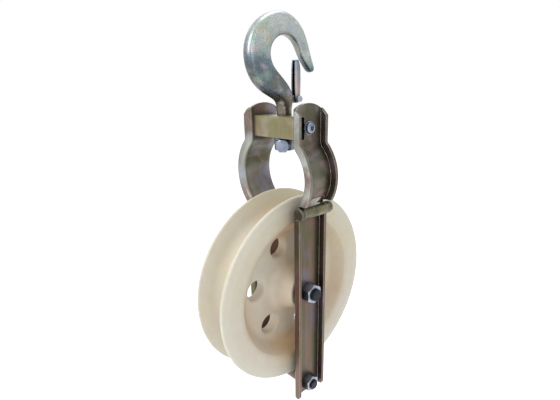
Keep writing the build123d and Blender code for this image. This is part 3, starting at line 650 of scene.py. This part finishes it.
def gutter_ring(maker, centre, half_out, half_side, sheet):
    """A closed ring on a bent sheet's section: out along its outer face, back along its inner."""
    verts = bmesh.ops.create_circle(maker, segments=LATCH_SEGMENTS, radius=1.0)["verts"]
    verts = sorted(verts, key=lambda vertex: atan2(vertex.co.y, vertex.co.x) % (2 * pi))
    half = LATCH_SEGMENTS // 2
    for number, vertex in enumerate(verts):
        outer = number < half
        share = (number if outer else LATCH_SEGMENTS - 1 - number) / (half - 1)
        turn = LATCH_HALF_TURN * (2 * share - 1)
        inset = 0 if outer else sheet
        bow = HOOK_OUT * (half_out - inset) * cos(turn)
        vertex.co = centre + bow + HOOK_SIDE * (half_side - inset) * sin(turn)
    return edges_of(verts)


def latch_piece(shape):
    """The bent sheet that closes the hook's mouth, bowed along its length."""
    maker = bmesh.new()
    rings = [gutter_ring(maker, LATCH_PIVOT + hook_point((out, up)), bow * MM, wide * MM,
                         shape.latch_sheet) for up, out, bow, wide in LATCH_STATIONS]
    bridged(maker, rings, 2 * LATCH_SEGMENTS)
    caps = [face for face in maker.faces if len(face.verts) > 4]
    bmesh.ops.triangulate(maker, faces=caps)
    return maker


class MakeHook(bpy.types.Operator):
    """Forged swivel hook, its safety latch and the latch's lug"""

    bl_idname = "stringing_block.make_hook"
    bl_label = "Forged hook"

    def execute(self, context):
        shape = context.scene.block_shape
        hook = finished("forged_hook", forging_piece(shape), "forging", "hook", 2)
        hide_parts("swivel_hook")
        latch = finished("bent_latch", latch_piece(shape), "latch", "latch")
        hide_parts("safety_latch")
        finished("latch_lug", lug_piece(), "forging", "hook")
        return {"FINISHED"}


# ---------------------------------------------------------------- plain CAD nodes
NODE_FINISH = {
    "chromate": ("rear_side_plate", "gate_side_plate", "gate_arm", "tie_spacer_tube"),
    "knuckle": ("hinge_middle_knuckle", "gate_hinge_knuckles", "hinge_pin", "hinge_pin_washer"),
    "chromate_pale": ("crossbar",),
    "dark_zinc": ("axle_nut", "tie_bolt_nut", "latch_rivet", "latch_spring"),
    "thread": ("axle_bolt", "tie_bolt"),
    "zinc": ("shank_collar", "shank_thrust_washer", "collar_cross_bolt", "collar_cross_bolt_nut",
             "rear_crossbar_bolt", "gate_side_axle_spacer", "rear_side_axle_spacer",
             "bearing_distance_sleeve", "gate_lock_bolt", "lock_bolt_washer"),
    "nylon": ("nylon_wheel",),
}
OTHER_NODES = "steel"


class FinishFrame(bpy.types.Operator):
    """Plating, nylon and steel finishes of the frame's own pieces"""

    bl_idname = "stringing_block.finish_frame"
    bl_label = "Frame finishes"

    def execute(self, context):
        MATERIALS.update(make_materials(context.scene.block_finish))
        chosen = {node: finish for finish, nodes in NODE_FINISH.items() for node in nodes}
        for node, piece in frame["nodes"].items():
            piece.data.materials.clear()
            piece.data.materials.append(MATERIALS[chosen.get(node, OTHER_NODES)])
        return {"FINISHED"}


# ---------------------------------------------------------------- stage
# Angles in degrees about the wheel's centre, and distances in metres.
CAMERA = {
    "azimuth": 47.364, "elevation": 16.556, "roll": -0.989, "distance": 0.5762, "right": -0.0096,
    "up": 0.1124, "lens": 25.06, "shift_y": 0.00836,
}
# Name, place, size and power of each soft lamp. All of them point at LAMP_TARGET.
LAMPS = (
    ("key", (-0.25, -1.5, 0.75), (1.3, 1.3), 17.0),
    ("fill", (1.5, -0.9, 0.1), (1.0, 1.4), 5.0),
    ("top", (0.0, 0.3, 1.4), (1.4, 1.4), 12.0),
    ("back", (-1.3, 1.1, 0.2), (1.2, 1.2), 7.0),
)
LAMP_TARGET = Vector((0, 0, AXLE_Z + 0.1))
WORLD_SOFT, WORLD_WHITE = 0.68, 0.32  # what the world gives to all rays, and adds where it is seen
FLOOR_WHITE = 0.5
FLOOR_DROP, FLOOR_SIZE = 0.35, 6.0


def camera_matrix():
    """The camera's place and turn about the wheel's centre."""
    azimuth, elevation, roll = (radians(CAMERA[key]) for key in ("azimuth", "elevation", "roll"))
    back = Vector((sin(azimuth) * cos(elevation), -cos(azimuth) * cos(elevation), sin(elevation)))
    level = (-back).cross(Vector((0, 0, 1))).normalized()
    upright = level.cross(-back)
    right = level * cos(roll) + upright * sin(roll)
    up = upright * cos(roll) - level * sin(roll)
    centre = Vector((0, 0, AXLE_Z))
    place = centre + back * CAMERA["distance"] + right * CAMERA["right"] + up * CAMERA["up"]
    return Matrix.Translation(place) @ Matrix((right, up, back)).transposed().to_4x4()


def make_camera(scene):
    lens = bpy.data.cameras.new("camera")
    lens.lens = CAMERA["lens"]
    lens.sensor_width = 36.0
    lens.shift_y = CAMERA["shift_y"]
    lens.clip_start = 0.01
    camera = bpy.data.objects.new("camera", lens)
    scene.collection.objects.link(camera)
    camera.matrix_world = camera_matrix()
    scene.camera = camera


def make_lamp(scene, name, place, size, energy):
    light = bpy.data.lights.new(name, "AREA")
    light.shape = "RECTANGLE"
    light.size, light.size_y = size
    light.energy = energy
    lamp = bpy.data.objects.new(name, light)
    scene.collection.objects.link(lamp)
    lamp.location = place
    lamp.rotation_euler = (LAMP_TARGET - Vector(place)).to_track_quat("-Z", "Y").to_euler()


def seen_directly(tree):
    """1 for what the camera, gloss or glass sees, and 0 for what only lights the object."""
    path = tree.nodes.new("ShaderNodeLightPath").outputs
    seen = calc(tree, "ADD", path["Is Camera Ray"], path["Is Glossy Ray"], clamp=True)
    return calc(tree, "ADD", seen, path["Is Transmission Ray"], clamp=True)


def white_world(scene):
    """A world that shows white to the camera, to gloss and to glass, and lights softly otherwise."""
    world = bpy.data.worlds.new("studio")
    scene.world = world
    world.use_nodes = True
    tree = world.node_tree
    added = times(tree, seen_directly(tree), WORLD_WHITE)
    strength = calc(tree, "ADD", added, WORLD_SOFT, clamp=True)
    fill(tree, tree.nodes["Background"], {"Color": (1, 1, 1), "Strength": strength})


def stage_material(name, base):
    """A matt pale floor that is plain white to the camera and in reflections, and keeps the shadow."""
    material, tree, shader = blank_material(name)
    fill(tree, shader, {
        "Base Color": base, "Roughness": 0.9, "Emission Color": (1, 1, 1),
        "Emission Strength": times(tree, seen_directly(tree), FLOOR_WHITE)})
    return material


def make_floor(scene):
    maker = bmesh.new()
    bmesh.ops.create_grid(maker, x_segments=2, y_segments=2, size=FLOOR_SIZE)
    maker.transform(Matrix.Translation((0, 0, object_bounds()[0][2] - FLOOR_DROP)))
    mesh = bpy.data.meshes.new("floor")
    maker.to_mesh(mesh)
    maker.free()
    floor = bpy.data.objects.new("floor", mesh)
    scene.collection.objects.link(floor)
    mesh.materials.append(stage_material("floor white", scene.block_finish.backdrop))
    floor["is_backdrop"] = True


class MakeStage(bpy.types.Operator):
    """White backdrop, soft lamps and the camera"""

    bl_idname = "stringing_block.make_stage"
    bl_label = "Stage"

    def execute(self, context):
        scene = context.scene
        scene.view_settings.view_transform = "Standard"
        white_world(scene)
        make_floor(scene)
        for lamp in LAMPS:
            make_lamp(scene, *lamp)
        make_camera(scene)
        return {"FINISHED"}


class BlockPanel(bpy.types.Panel):
    """Lists the block's operators and settings"""

    bl_idname = "VIEW3D_PT_stringing_block"
    bl_label = "Stringing block"
    bl_space_type = "VIEW_3D"
    bl_region_type = "UI"
    bl_category = "Stringing block"

    def draw(self, context):
        layout = self.layout
        for operator in OPERATORS:
            layout.operator(operator.bl_idname)
        for settings in (context.scene.block_shape, context.scene.block_finish):
            for name in settings.__annotations__:
                layout.prop(settings, name)


OPERATORS = (FinishFrame, MakeHook, MakeStage)
CLASSES = (FinishSettings, ShapeSettings, *OPERATORS, BlockPanel)


def register():
    for item in CLASSES:
        bpy.utils.register_class(item)
    bpy.types.Scene.block_finish = PointerProperty(type=FinishSettings)
    bpy.types.Scene.block_shape = PointerProperty(type=ShapeSettings)


def unregister():
    del bpy.types.Scene.block_shape
    del bpy.types.Scene.block_finish
    for item in reversed(CLASSES):
        bpy.utils.unregister_class(item)


def main():
    register()
    for operator in OPERATORS:
        group, name = operator.bl_idname.split(".")
        getattr(getattr(bpy.ops, group), name)()


if __name__ == "__main__":
    main()
